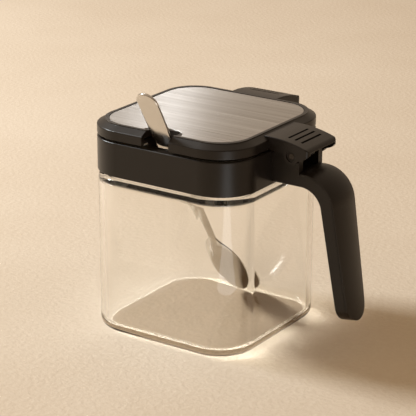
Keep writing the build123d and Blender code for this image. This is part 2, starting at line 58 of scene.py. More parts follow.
camera_data = bpy.data.cameras.new("camera")
camera_data.sensor_width = sensor_width_mm
camera_data.lens = lens_mm
camera = bpy.data.objects.new("camera", camera_data)
turn = math.radians(camera_azimuth)
rise = math.radians(camera_elevation)
away = Vector((math.sin(turn) * math.cos(rise), -math.cos(turn) * math.cos(rise), math.sin(rise)))
camera_turn = away.to_track_quat("Z", "Y").to_matrix().to_4x4()
camera_turn = camera_turn @ Matrix.Rotation(math.radians(camera_roll), 4, "Z")
camera.matrix_world = Matrix.Translation(camera_target + away * camera_distance) @ camera_turn
bpy.context.scene.collection.objects.link(camera)
bpy.context.scene.camera = camera
bpy.context.scene.view_settings.view_transform = "Standard"


# Floor. A plain pale plaster table top with a trowelled grain, which takes the jar's soft
# shadow. It is not part of the jar.
floor_half_size = 3.0
plaster_pale = (0.765, 0.655, 0.525)
plaster_deep = (0.700, 0.585, 0.455)
plaster_grain = 0.0024
plaster_cloud = 0.11
plaster_grain_share = 0.4
plaster_roughness = 0.8
plaster_shine = 0.2
plaster_relief, plaster_relief_strength = 0.0007, 0.6


def start_finish(name, roughness, metallic=0.0):
    """A new finish: its material, its node tree and its Principled shader."""
    material = bpy.data.materials.new(name)
    material.use_nodes = True
    shader = material.node_tree.nodes["Principled BSDF"]
    shader.inputs["Roughness"].default_value = roughness
    shader.inputs["Metallic"].default_value = metallic
    return material, material.node_tree, shader


def grain_of(tree, size, detail=3.0, stretch=(1.0, 1.0, 1.0)):
    """Noise laid out on the piece itself, with grains about this many metres across."""
    place = tree.nodes.new("ShaderNodeTexCoord")
    mapping = tree.nodes.new("ShaderNodeMapping")
    mapping.inputs["Scale"].default_value = stretch
    noise = tree.nodes.new("ShaderNodeTexNoise")
    noise.inputs["Scale"].default_value = 1.0 / size
    noise.inputs["Detail"].default_value = detail
    tree.links.new(place.outputs["Object"], mapping.inputs["Vector"])
    tree.links.new(mapping.outputs["Vector"], noise.inputs["Vector"])
    return noise.outputs["Fac"]


def colour_between(tree, factor, low, high, start=0.35, end=0.65):
    """A colour that runs from low to high as the factor rises from start to end."""
    ramp = tree.nodes.new("ShaderNodeValToRGB")
    for stop, position, colour in zip(ramp.color_ramp.elements, (start, end), (low, high)):
        stop.position = position
        stop.color = (colour[0], colour[1], colour[2], 1.0)
    tree.links.new(factor, ramp.inputs["Fac"])
    return ramp.outputs["Color"]


def number_between(tree, factor, low, high, start=0.3, end=0.7):
    """A number that runs from low to high as the factor rises from start to end."""
    span = tree.nodes.new("ShaderNodeMapRange")
    for key, value in zip(("From Min", "From Max", "To Min", "To Max"), (start, end, low, high)):
        span.inputs[key].default_value = value
    tree.links.new(factor, span.inputs["Value"])
    return span.outputs["Result"]


def relief_of(tree, height, depth, strength):
    """A surface relief of the given depth in metres, from a height between 0 and 1."""
    bump = tree.nodes.new("ShaderNodeBump")
    bump.inputs["Strength"].default_value = strength
    bump.inputs["Distance"].default_value = depth
    tree.links.new(height, bump.inputs["Height"])
    return bump.outputs["Normal"]


def combined(tree, operation, first, second):
    """Two values joined by a sum, a product or the like; each is a socket or a number."""
    node = tree.nodes.new("ShaderNodeMath")
    node.operation = operation
    for socket, value in zip(node.inputs, (first, second)):
        if isinstance(value, (int, float)):
            socket.default_value = value
        else:
            tree.links.new(value, socket)
    return node.outputs[0]


def mixed_of(tree, first, second, first_share):
    """A sum of two values, the first with the given share and the second with the rest."""
    first_part = combined(tree, "MULTIPLY", first, first_share)
    second_part = combined(tree, "MULTIPLY", second, 1 - first_share)
    return combined(tree, "ADD", first_part, second_part)


def place_piece(name, mesh, material):
    """A new piece at the origin, with its finish."""
    piece = bpy.data.objects.new(name, mesh)
    mesh.materials.clear()
    mesh.materials.append(material)
    bpy.context.scene.collection.objects.link(piece)
    return piece


def plaster():
    """Pale trowelled plaster: fine grain and broad clouds in its colour, the grain in its relief."""
    material, tree, shader = start_finish("pale_plaster", plaster_roughness)
    fine = grain_of(tree, plaster_grain, detail=4.0)
    cloud = grain_of(tree, plaster_cloud)
    mixed = mixed_of(tree, fine, cloud, plaster_grain_share)
    tree.links.new(colour_between(tree, mixed, plaster_deep, plaster_pale), shader.inputs["Base Color"])
    grain_relief = relief_of(tree, fine, plaster_relief, plaster_relief_strength)
    tree.links.new(grain_relief, shader.inputs["Normal"])
    shader.inputs["Specular IOR Level"].default_value = plaster_shine
    return material


table_mesh = bpy.data.meshes.new("table_top")
corner_signs = ((-1, -1), (1, -1), (1, 1), (-1, 1))
table_corners = [(x * floor_half_size, y * floor_half_size, 0) for x, y in corner_signs]
table_mesh.from_pydata(table_corners, [], [(0, 1, 2, 3)])
table_top = place_piece("table_top", table_mesh, plaster())


# Room. A dim warm light all round, which fills the shadows. The camera, metal and glass see a
# plain backdrop instead, bright on the far left and falling off into shade on the other side.
room_light = (0.40, 0.288, 0.178, 1.0)
backdrop_lit = (0.58, 0.455, 0.335)
backdrop_shaded = (0.19, 0.142, 0.10)
backdrop_fade = 0.7
lit_way = Vector((-0.80, 0.50, 0.30)).normalized()

world = bpy.data.worlds.new("room")
bpy.context.scene.world = world
world.use_nodes = True
room = world.node_tree
even_light = room.nodes["Background"]
even_light.inputs["Color"].default_value = room_light
backdrop = room.nodes.new("ShaderNodeBackground")
looking = room.nodes.new("ShaderNodeTexCoord")
towards_lit_side = room.nodes.new("ShaderNodeVectorMath")
towards_lit_side.operation = "DOT_PRODUCT"
towards_lit_side.inputs[1].default_value = lit_way
room.links.new(looking.outputs["Generated"], towards_lit_side.inputs[0])
facing_lit_side = towards_lit_side.outputs["Value"]
backdrop_side = number_between(room, facing_lit_side, 0.0, 1.0, start=-backdrop_fade, end=backdrop_fade)
backdrop_colour = colour_between(room, backdrop_side, backdrop_shaded, backdrop_lit, start=0.0, end=1.0)
room.links.new(backdrop_colour, backdrop.inputs["Color"])
path = room.nodes.new("ShaderNodeLightPath")
sees_backdrop = combined(room, "MAXIMUM", path.outputs["Is Camera Ray"], path.outputs["Is Glossy Ray"])
sees_backdrop = combined(room, "MAXIMUM", sees_backdrop, path.outputs["Is Transmission Ray"])
room_choice = room.nodes.new("ShaderNodeMixShader")
room.links.new(sees_backdrop, room_choice.inputs["Fac"])
room.links.new(even_light.outputs["Background"], room_choice.inputs[1])
room.links.new(backdrop.outputs["Background"], room_choice.inputs[2])
room.links.new(room_choice.outputs["Shader"], room.nodes["World Output"].inputs["Surface"])


# Lamps. A soft light from the left, and a long narrow panel behind the jar on the same side,
# which draws a streak on the brushed plate. A faint strip on the floor before the near corner
# shows in glossy surfaces only.
def soft_lamp(name, place, aim, width_way, width, height, watts, colour):
    """A rectangular lamp that faces the aim, with its width along the given way."""
    lamp = bpy.data.lights.new(name, "AREA")
    lamp.shape = "RECTANGLE"
    lamp.size = width
    lamp.size_y = height
    lamp.energy = watts
    lamp.color = colour
    holder = bpy.data.objects.new(name, lamp)
    facing = (Vector(place) - Vector(aim)).normalized()
    across = facing.cross(Vector(width_way)).normalized()
    turn = Matrix((across.cross(facing), across, facing)).transposed().to_4x4()
    holder.matrix_world = Matrix.Translation(place) @ turn
    bpy.context.scene.collection.objects.link(holder)
    return holder


left_place, left_aim, level_way = (-0.98, -0.20, 0.95), (0, 0, 0.05), (0, 1, 0)
left_size = 0.28
left_watts = 18.0
left_colour = (0.94, 0.98, 1.0)
soft_lamp("left_light", left_place, left_aim, level_way, left_size, left_size, left_watts, left_colour)

panel_place, panel_aim, panel_way = (-0.68, 0.72, 0.76), (0, 0, 0.097), (0, -0.68, 0.74)
panel_long, panel_wide = 0.50, 0.04
panel_watts = 0.34
panel_colour = (0.97, 0.985, 1.0)
soft_lamp("back_panel", panel_place, panel_aim, panel_way, panel_long, panel_wide, panel_watts, panel_colour)

strip_angle = math.radians(51.0)
strip_way = Vector((math.sin(strip_angle), -math.cos(strip_angle), 0))
strip_long, strip_wide = 0.24, 0.08
strip_watts = 0.15
strip_colour = (0.93, 0.97, 1.0)
strip_start = Vector((0.088, -0.078, 0.0015))
strip_middle = strip_start + strip_way * strip_long / 2
strip_aim = strip_middle + Vector((0, 0, 1))
strip = soft_lamp("near_strip", strip_middle, strip_aim, strip_way, strip_long, strip_wide, strip_watts,
                  strip_colour)
strip.visible_camera = False
strip.visible_diffuse = False
strip.visible_transmission = False


# Glass jar. One piece of clear pressed glass, square with round corners, with a base a little
# thicker than its walls and a rounded shoulder. The collar snaps over the bead on its neck.
glass_half = 0.0397
glass_radius = 0.0180
glass_wall = 0.0024
glass_base = 0.0030
foot_round = 0.0045
floor_round = 0.0030
shoulder_z = 0.0730
shoulder_round = 0.0018
neck_half = 0.0366
neck_inner_half = 0.0338
bead_half = 0.0374
rim_z = 0.0876
rim_round = 0.0008
bead_low, bead_high = 0.0820, 0.0848
bead_slope = 0.0001
neck_root = 0.0005
flat_start = 0.004
points_round_glass = 112
foot_steps, shoulder_steps, rim_steps = 12, 9, 4
corner_count, corner_crowding = 4, 0.92
merge_distance = 1e-6
glass_clear = (1.0, 1.0, 0.996)
glass_faint_tint = (0.988, 0.990, 0.982)
glass_shadow = (0.95, 0.94, 0.92, 1.0)
glass_bending = 1.5
ripple_size, ripple_stretch = 0.018, (1.0, 1.0, 0.4)
ripple_depth, ripple_strength = 0.0001, 0.3


def tree_with_sizes(name, sizes):
    """A Geometry Nodes tree that takes a geometry and named sizes, with its two end nodes."""
    tree = bpy.data.node_groups.new(name, "GeometryNodeTree")
    tree.interface.new_socket("Geometry", in_out="INPUT", socket_type="NodeSocketGeometry")
    tree.interface.new_socket("Geometry", in_out="OUTPUT", socket_type="NodeSocketGeometry")
    for size, kind in sizes.items():
        tree.interface.new_socket(size, in_out="INPUT", socket_type="NodeSocket" + kind)
    return tree, tree.nodes.new("NodeGroupInput").outputs, tree.nodes.new("NodeGroupOutput").inputs


def add_step(tree, kind, settings=None, **links):
    """A node of a tree, with its settings, and its inputs linked or set by name or number."""
    node = tree.nodes.new(kind)
    for key, value in (settings or {}).items():
        setattr(node, key, value)
    for key, value in links.items():
        socket = node.inputs[int(key[1:]) if key[1:].isdigit() else key.replace("_", " ")]
        if isinstance(value, bpy.types.NodeSocket):
            tree.links.new(value, socket)
        else:
            socket.default_value = value
    return node.outputs


def sum_of(tree, operation, first, second=0.0, third=0.0):
    """One step of arithmetic in a tree of Geometry Nodes."""
    return add_step(tree, "ShaderNodeMath", {"operation": operation}, i0=first, i1=second, i2=third)[0]


def finish_tree(tree, geometry, material, end, smooth=True):
    """Close a tree: real geometry, smooth or flat faces, and the piece's material."""
    real = add_step(tree, "GeometryNodeRealizeInstances", Geometry=geometry)[0]
    if smooth:
        real = add_step(tree, "GeometryNodeSetShadeSmooth", Geometry=real)[0]
    dressed = add_step(tree, "GeometryNodeSetMaterial", Geometry=real, Material=material)[0]
    tree.links.new(dressed, end["Geometry"])


def mesh_from_tree(name, start_mesh, tree, sizes):
    """Run a tree on a starting mesh with its sizes set, and return the plain mesh it makes."""
    maker = bpy.data.objects.new(name + "_maker", start_mesh)
    bpy.context.scene.collection.objects.link(maker)
    modifier = maker.modifiers.new("maker", "NODES")
    modifier.node_group = tree
    for item in tree.interface.items_tree:
        if item.in_out == "INPUT" and item.name in sizes:
            modifier[item.identifier] = sizes[item.name]
    mesh = bpy.data.meshes.new_from_object(maker.evaluated_get(bpy.context.evaluated_depsgraph_get()))
    mesh.name = name
    bpy.data.objects.remove(maker)
    return mesh


def rounded_square_tree():
    """Rings of a rounded square, one for each point of the section that the tree is given.

    A point of the section holds a ring's corner radius, the half length of its straight sides
    and its height. The ring's points crowd towards the ends of the round corners."""
    tree, given, end = tree_with_sizes("rounded_square_rings", {
        "Points round": "Int", "Crowding": "Float", "Material": "Material"})
    count = add_step(tree, "GeometryNodeAttributeDomainSize", Geometry=given["Geometry"])["Point Count"]
    columns = sum_of(tree, "ADD", given["Points round"], 1.0)
    sheet = add_step(tree, "GeometryNodeMeshGrid", Vertices_X=columns, Vertices_Y=count)["Mesh"]
    index = add_step(tree, "GeometryNodeInputIndex")[0]
    column = sum_of(tree, "FLOOR", sum_of(tree, "DIVIDE", sum_of(tree, "ADD", index, 0.5), count))
    row = sum_of(tree, "SUBTRACT", index, sum_of(tree, "MULTIPLY", column, count))
    share = sum_of(tree, "DIVIDE", sum_of(tree, "ADD", column, 0.5), given["Points round"])
    even_angle = sum_of(tree, "MULTIPLY", share, 2 * math.pi)
    wave = sum_of(tree, "SINE", sum_of(tree, "MULTIPLY", even_angle, corner_count))
    crowd = sum_of(tree, "MULTIPLY", sum_of(tree, "DIVIDE", wave, corner_count), given["Crowding"])
    angle = sum_of(tree, "SUBTRACT", even_angle, crowd)
    position = add_step(tree, "GeometryNodeInputPosition")[0]
    station = add_step(tree, "GeometryNodeSampleIndex", {"data_type": "FLOAT_VECTOR"},
                       Geometry=given["Geometry"], Value=position, Index=row)[0]
    radius, straight, height = add_step(tree, "ShaderNodeSeparateXYZ", Vector=station)
    across = []
    for wave_kind in ("COSINE", "SINE"):
        wave = sum_of(tree, wave_kind, angle)
        corner = sum_of(tree, "MULTIPLY", sum_of(tree, "SIGN", wave), straight)
        across.append(sum_of(tree, "MULTIPLY_ADD", wave, radius, corner))
    there = add_step(tree, "ShaderNodeCombineXYZ", X=across[0], Y=across[1], Z=height)[0]
    shaped = add_step(tree, "GeometryNodeSetPosition", Geometry=sheet, Position=there)[0]
    closed = add_step(tree, "GeometryNodeMergeByDistance", Geometry=shaped, Distance=merge_distance)[0]
    finish_tree(tree, closed, given["Material"], end)
    return tree


def round_edge(centre_half, centre_z, radius, start_degrees, end_degrees, steps):
    """Half widths and heights round an edge in the side view."""
    stations = []
    for step in range(steps + 1):
        angle = math.radians(start_degrees + (end_degrees - start_degrees) * step / steps)
        stations.append((centre_half + radius * math.cos(angle), centre_z + radius * math.sin(angle)))
    return stations


def section_mesh(stations, straight):
    """The section of a square shell, closed to its middle at both of its ends."""
    first_z, last_z = stations[0][1], stations[-1][1]
    points = [(0, 0, first_z), (0, straight / 2, first_z)]
    points += [(half - straight, straight, z) for half, z in stations]
    points += [(0, straight / 2, last_z), (0, 0, last_z)]
    mesh = bpy.data.meshes.new("section")
    mesh.from_pydata(points, [], [])
    return mesh


def clear_glass():
    """Clear glass with the faint ripple of pressing, which lets the lamps' light straight through."""
    material, tree, shader = start_finish("clear_glass", roughness=0.0)
    shader.inputs["IOR"].default_value = glass_bending
    shader.inputs["Transmission Weight"].default_value = 1.0
    ripple = grain_of(tree, ripple_size, detail=1.0, stretch=ripple_stretch)
    tint = colour_between(tree, ripple, glass_faint_tint, glass_clear)
    tree.links.new(tint, shader.inputs["Base Color"])
    tree.links.new(relief_of(tree, ripple, ripple_depth, ripple_strength), shader.inputs["Normal"])
    passing = tree.nodes.new("ShaderNodeBsdfTransparent")
    passing.inputs["Color"].default_value = glass_shadow
    shadow_path = tree.nodes.new("ShaderNodeLightPath")
    choice = tree.nodes.new("ShaderNodeMixShader")
    tree.links.new(shadow_path.outputs["Is Shadow Ray"], choice.inputs["Fac"])
    tree.links.new(shader.outputs["BSDF"], choice.inputs[1])
    tree.links.new(passing.outputs["BSDF"], choice.inputs[2])
    tree.links.new(choice.outputs["Shader"], tree.nodes["Material Output"].inputs["Surface"])
    return material


straight_half = glass_half - glass_radius
cavity_half = glass_half - glass_wall
cavity_top = shoulder_z - glass_wall
outside = [(straight_half + flat_start, 0.0)]
outside += round_edge(glass_half - foot_round, foot_round, foot_round, -90, 0, foot_steps)
outside += round_edge(glass_half - shoulder_round, shoulder_z - shoulder_round, shoulder_round, 0, 90,
                      shoulder_steps)
outside += [(neck_half + neck_root, shoulder_z), (neck_half, shoulder_z + neck_root)]
outside += [(neck_half, bead_low - bead_slope), (bead_half, bead_low), (bead_half, bead_high)]
outside += [(neck_half, bead_high + bead_slope)]
outside += round_edge(neck_half - rim_round, rim_z - rim_round, rim_round, 0, 90, rim_steps)
inside = round_edge(neck_inner_half + rim_round, rim_z - rim_round, rim_round, 90, 180, rim_steps)
inside += [(neck_inner_half, cavity_top)]
inside += round_edge(cavity_half - shoulder_round, cavity_top - shoulder_round, shoulder_round, 90, 0,
                     shoulder_steps)
inside += round_edge(cavity_half - floor_round, glass_base + floor_round, floor_round, 0, -90, foot_steps)
inside += [(straight_half + flat_start, glass_base)]
glass_section = section_mesh(outside + inside, straight_half)
clear_pressed_glass = clear_glass()
ring_tree = rounded_square_tree()
glass_mesh = mesh_from_tree("glass_jar_walls", glass_section, ring_tree, {
    "Points round": points_round_glass, "Crowding": corner_crowding, "Material": clear_pressed_glass})
glass = place_piece("glass_jar_walls", glass_mesh, clear_pressed_glass)
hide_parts("glass_jar")
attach(glass, "jar")


# Neck gasket. A soft silicone ring that lies on the glass rim and is pressed by the collar's
# flange, so that the collar doesn't rattle on the glass.
silicone_pale = (0.74, 0.72, 0.68)
silicone_deep = (0.62, 0.60, 0.55)
silicone_cloud = 0.004
silicone_roughness = (0.42, 0.58)
silicone_glow = 0.2
silicone_glow_depths, silicone_glow_scale = (0.002, 0.0015, 0.001), 0.5


def silicone():
    """Cloudy, slightly translucent silicone rubber."""
    material, tree, shader = start_finish("pale_silicone", sum(silicone_roughness) / 2)
    cloud = grain_of(tree, silicone_cloud)
    tree.links.new(colour_between(tree, cloud, silicone_deep, silicone_pale), shader.inputs["Base Color"])
    tree.links.new(number_between(tree, cloud, *silicone_roughness), shader.inputs["Roughness"])
    shader.inputs["Subsurface Weight"].default_value = silicone_glow
    shader.inputs["Subsurface Radius"].default_value = silicone_glow_depths
    shader.inputs["Subsurface Scale"].default_value = silicone_glow_scale
    return material


def dress(node, material):
    """Give a part of the frame its finish."""
    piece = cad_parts[node]
    if not piece.material_slots:
        piece.data.materials.append(material)
    for place in piece.material_slots:
        place.material = material


pale_silicone = silicone()
dress("neck_gasket", pale_silicone)


# Collar. A ring moulded in black plastic with a satin skin. It snaps over the bead of the glass
# neck and carries the handle and the hinge.
black_skin = (0.0125, 0.0094, 0.0074)
black_skin_worn = (0.0160, 0.0123, 0.0098)
black_cloud = 0.03
black_relief, black_relief_strength = 0.00002, 0.3
black_shine = 0.33
collar_grain, collar_roughness = 0.0009, (0.30, 0.36)


def satin_black(name, skin_grain, roughness_low, roughness_high):
    """Warm black plastic with the fine skin of its mould and slightly uneven gloss."""
    material, tree, shader = start_finish(name, roughness_low)
    skin = grain_of(tree, skin_grain, detail=4.0)
    cloud = grain_of(tree, black_cloud)
    tree.links.new(colour_between(tree, cloud, black_skin, black_skin_worn), shader.inputs["Base Color"])
    tree.links.new(number_between(tree, cloud, roughness_low, roughness_high), shader.inputs["Roughness"])
    tree.links.new(relief_of(tree, skin, black_relief, black_relief_strength), shader.inputs["Normal"])
    shader.inputs["Specular IOR Level"].default_value = black_shine
    return material


dress("collar", satin_black("satin_black_collar", collar_grain, *collar_roughness))


# Handle. A black moulded bar with the bracket and the two lugs for the hinge, and a crowned
# cover clipped on its outer face. It is screwed to the collar from inside.
handle_grain, handle_roughness = 0.0011, (0.34, 0.42)

handle_black = satin_black("satin_black_handle", handle_grain, *handle_roughness)
dress("handle", handle_black)
dress("handle_cover", handle_black)


# Handle screws. Two steel screws with slotted heads, driven from inside the collar through its
# wall and into the handle's bracket.
steel_light = (0.58, 0.57, 0.555)
steel_dark = (0.44, 0.43, 0.415)
steel_cloud = 0.002
steel_roughness = (0.26, 0.38)


def plain_steel():
    """Plain bright steel with a little cloud in its gloss."""
    material, tree, shader = start_finish("plain_steel", steel_roughness[0], metallic=1.0)
    cloud = grain_of(tree, steel_cloud)
    tree.links.new(colour_between(tree, cloud, steel_dark, steel_light), shader.inputs["Base Color"])
    tree.links.new(number_between(tree, cloud, *steel_roughness), shader.inputs["Roughness"])
    return material


bright_steel = plain_steel()
dress("handle_screws", bright_steel)


# Lid frame. One black moulding: the bevelled rim, the thumb lever with its cheeks over the
# handle, the finger tab at the back and the spoon's notch.
lid_grain, lid_roughness = 0.0009, (0.30, 0.38)

lid_black = satin_black("satin_black_lid", lid_grain, *lid_roughness)
dress("lid_frame", lid_black)


# Top plate. Thin stainless steel, brushed in straight lines from side to side, let into the
# frame and held by a foam pad. Its edge is broken by a fine bevel.
plate_edge, plate_edge_steps = 0.00016, 2
sharp_edge_angle = math.radians(40)
plate_light = (0.60, 0.585, 0.565)
plate_dark = (0.40, 0.38, 0.36)
plate_roughness = (0.27, 0.34)
fine_line_length, fine_line_stretch, fine_line_share = 0.05, (1.0, 150.0, 1.0), 0.65
broad_line_length, broad_line_stretch = 0.16, (1.0, 60.0, 1.0)
line_contrast = (0.38, 0.62)
line_depth, line_strength = 0.000012, 0.5
flat_angle = math.radians(1.0)
map_scale = 10


def brushed_steel():
    """Steel brushed in straight lines along X, which spread each light across them."""
    material, tree, shader = start_finish("brushed_steel", sum(plate_roughness) / 2, metallic=1.0)
    shader.inputs["Anisotropic"].default_value = 1.0
    line = tree.nodes.new("ShaderNodeTangent")
    line.direction_type = "UV_MAP"
    line.uv_map = "across_the_brushing"
    tree.links.new(line.outputs["Tangent"], shader.inputs["Tangent"])
    fine = grain_of(tree, fine_line_length, stretch=fine_line_stretch)
    broad = grain_of(tree, broad_line_length, detail=2.0, stretch=broad_line_stretch)
    mixed = mixed_of(tree, fine, broad, fine_line_share)
    line_colour = colour_between(tree, mixed, plate_dark, plate_light, *line_contrast)
    tree.links.new(line_colour, shader.inputs["Base Color"])
    tree.links.new(number_between(tree, fine, *plate_roughness), shader.inputs["Roughness"])
    tree.links.new(relief_of(tree, fine, line_depth, line_strength), shader.inputs["Normal"])
    return material


def copy_of_node(node):
    """A merged copy of a part's mesh, open for more work."""
    work = bmesh.new()
    work.from_mesh(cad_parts[node].data)
    work.transform(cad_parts[node].matrix_world)
    bmesh.ops.remove_doubles(work, verts=work.verts, dist=merge_distance)
    bmesh.ops.dissolve_limit(work, angle_limit=flat_angle, verts=work.verts, edges=work.edges)
    return work


plate_work = copy_of_node("top_plate")
sharp = [edge for edge in plate_work.edges if edge.calc_face_angle(0.0) > sharp_edge_angle]
bmesh.ops.bevel(plate_work, geom=sharp, offset=plate_edge, segments=plate_edge_steps, affect="EDGES",
                profile=0.5)
bmesh.ops.triangulate(plate_work, faces=plate_work.faces)
plate_map = plate_work.loops.layers.uv.new("across_the_brushing")
for face in plate_work.faces:
    face.smooth = False
    for loop in face.loops:
        loop[plate_map].uv = (loop.vert.co.y * map_scale, loop.vert.co.x * -map_scale)
plate_mesh = bpy.data.meshes.new("brushed_plate")
plate_work.to_mesh(plate_mesh)
plate_work.free()
plate = place_piece("brushed_plate", plate_mesh, brushed_steel())
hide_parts("top_plate")
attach(plate, "lid")


# Foam pad. A dark foam tape, sticky on both sides, that holds the steel plate in the frame. It is
# cut a little smaller than the plate, so that it doesn't show.
foam_dark, foam_light = (0.05, 0.05, 0.05), (0.12, 0.12, 0.12)
foam_roughness = 0.9
foam_cell, foam_cell_depth, foam_cell_strength = 0.0006, 0.0001, 0.6


def foam_tape():
    """Dull dark foam with fine open cells."""
    material, tree, shader = start_finish("foam_tape", foam_roughness)
    cells = grain_of(tree, foam_cell, detail=2.0)
    tree.links.new(colour_between(tree, cells, foam_dark, foam_light), shader.inputs["Base Color"])
    tree.links.new(relief_of(tree, cells, foam_cell_depth, foam_cell_strength), shader.inputs["Normal"])
    return material


dress("plate_adhesive", foam_tape())


# Inner lid. A black moulding whose plug drops into the mouth, with a wall round the spoon's
# notch. It is screwed under the frame, and a silicone seal lies round its plug.
dress("inner_lid", lid_black)
dress("lid_seal", pale_silicone)


# Inner lid screws. Four steel screws with cross recesses, driven up through the inner lid into
# the frame's bosses, one near each corner.
screw_place = 0.0230
screw_head_low, screw_head_high, screw_tip_z = 0.0912, 0.0921, 0.0953
screw_head_radius = 0.0020
screw_shank_radius = 0.0009
recess_width, recess_depth = 0.0005, 0.0004
recess_reach = 1.1
head_points, shank_points = 32, 20


def screw_tree():
    """One screw, head down, on each point that the tree is given."""
    tree, given, end = tree_with_sizes("cross_screws", {
        "Head radius": "Float", "Head height": "Float", "Shank radius": "Float", "Shank length": "Float",
        "Recess width": "Float", "Recess depth": "Float", "Material": "Material"})

    def lifted(mesh, height):
        """The mesh, raised by the height."""
        place = add_step(tree, "ShaderNodeCombineXYZ", Z=height)[0]
        return add_step(tree, "GeometryNodeTransform", Geometry=mesh, Translation=place)[0]

    head = add_step(tree, "GeometryNodeMeshCylinder", Vertices=head_points, Radius=given["Head radius"],
                    Depth=given["Head height"])["Mesh"]
    head = lifted(head, sum_of(tree, "MULTIPLY", given["Head height"], 0.5))
    arm_length = sum_of(tree, "MULTIPLY", given["Head radius"], recess_reach)
    twice_deep = sum_of(tree, "MULTIPLY", given["Recess depth"], 2.0)
    arms = []
    for size in ((arm_length, given["Recess width"]), (given["Recess width"], arm_length)):
        box = add_step(tree, "ShaderNodeCombineXYZ", X=size[0], Y=size[1], Z=twice_deep)[0]
        arms.append(add_step(tree, "GeometryNodeMeshCube", Size=box)["Mesh"])
    cut = tree.nodes.new("GeometryNodeMeshBoolean")
    cut.operation = "DIFFERENCE"
    tree.links.new(head, cut.inputs[0])
    for arm in arms:
        tree.links.new(arm, cut.inputs[1])
    shank = add_step(tree, "GeometryNodeMeshCylinder", Vertices=shank_points, Radius=given["Shank radius"],
                     Depth=given["Shank length"])["Mesh"]
    half_shank = sum_of(tree, "MULTIPLY", given["Shank length"], 0.5)
    shank = lifted(shank, sum_of(tree, "ADD", given["Head height"], half_shank))
    both = tree.nodes.new("GeometryNodeJoinGeometry")
    tree.links.new(cut.outputs[0], both.inputs[0])
    tree.links.new(shank, both.inputs[0])
    set_out = add_step(tree, "GeometryNodeInstanceOnPoints", Points=given["Geometry"],
                       Instance=both.outputs[0])[0]
    finish_tree(tree, set_out, given["Material"], end, smooth=False)
    return tree


screw_points = bpy.data.meshes.new("screw_points")
screw_places = [(x * screw_place, y * screw_place, screw_head_low) for x in (-1, 1) for y in (-1, 1)]
screw_points.from_pydata(screw_places, [], [])
screw_mesh = mesh_from_tree("lid_screws", screw_points, screw_tree(), {
    "Head radius": screw_head_radius, "Head height": screw_head_high - screw_head_low,
    "Shank radius": screw_shank_radius, "Shank length": screw_tip_z - screw_head_high,
    "Recess width": recess_width, "Recess depth": recess_depth, "Material": bright_steel})
lid_screws = place_piece("lid_screws", screw_mesh, bright_steel)
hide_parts("inner_lid_screws")
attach(lid_screws, "lid")


# Hinge pin. A ground steel pin, pressed into the lever's cheeks and free in the handle's lugs.
# It is blackened, so that its ends don't shine in the black cheeks.
pin_dark, pin_light = (0.045, 0.039, 0.034), (0.085, 0.075, 0.066)
pin_cloud = 0.0015
pin_roughness = (0.28, 0.42)


def dark_pin():
    """Blackened steel."""
    material, tree, shader = start_finish("dark_pin_steel", pin_roughness[0], metallic=1.0)
    cloud = grain_of(tree, pin_cloud)
    tree.links.new(colour_between(tree, cloud, pin_dark, pin_light), shader.inputs["Base Color"])
    tree.links.new(number_between(tree, cloud, *pin_roughness), shader.inputs["Roughness"])
    return material


dress("hinge_pin", dark_pin())


# Hinge spring. A steel wire coiled round the hinge pin between the lugs. Its foot stands in the
# handle's slot and its other leg presses up under the lever, so that the lid falls shut.
pivot = Vector((0.0510, 0.0, 0.0897))
coil_radius = 0.00275
coil_turns = 4.25
coil_pitch = 0.0017
wire_radius = 0.0004
foot_z = 0.0816
lever_leg = 0.0033
leg_points = 6
coil_points = 24
wire_points = 12


